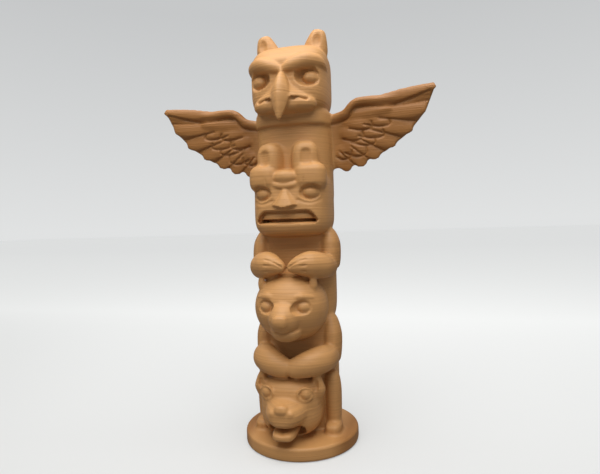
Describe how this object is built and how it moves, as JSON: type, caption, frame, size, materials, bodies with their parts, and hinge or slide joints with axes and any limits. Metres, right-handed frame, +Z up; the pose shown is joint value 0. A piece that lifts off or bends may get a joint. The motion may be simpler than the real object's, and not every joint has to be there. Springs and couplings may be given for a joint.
{
  "type": "totem pole figurine",
  "caption": "Small printed totem pole with a winged eagle, a mask-like face, a bear and a wolf stacked on a round foot; stands as a desk ornament.",
  "frame": {"origin": "where the column's axis meets the foot's flat underside", "axes": "+Z up the pole, the figures face -Y, the wings reach along X"},
  "size_m": [0.102, 0.0454, 0.1499],
  "materials": {
    "printed_plastic": "matte"
  },
  "bodies": {
    "root": {"totem_pole": "printed_plastic"}
  },
  "joints": []
}
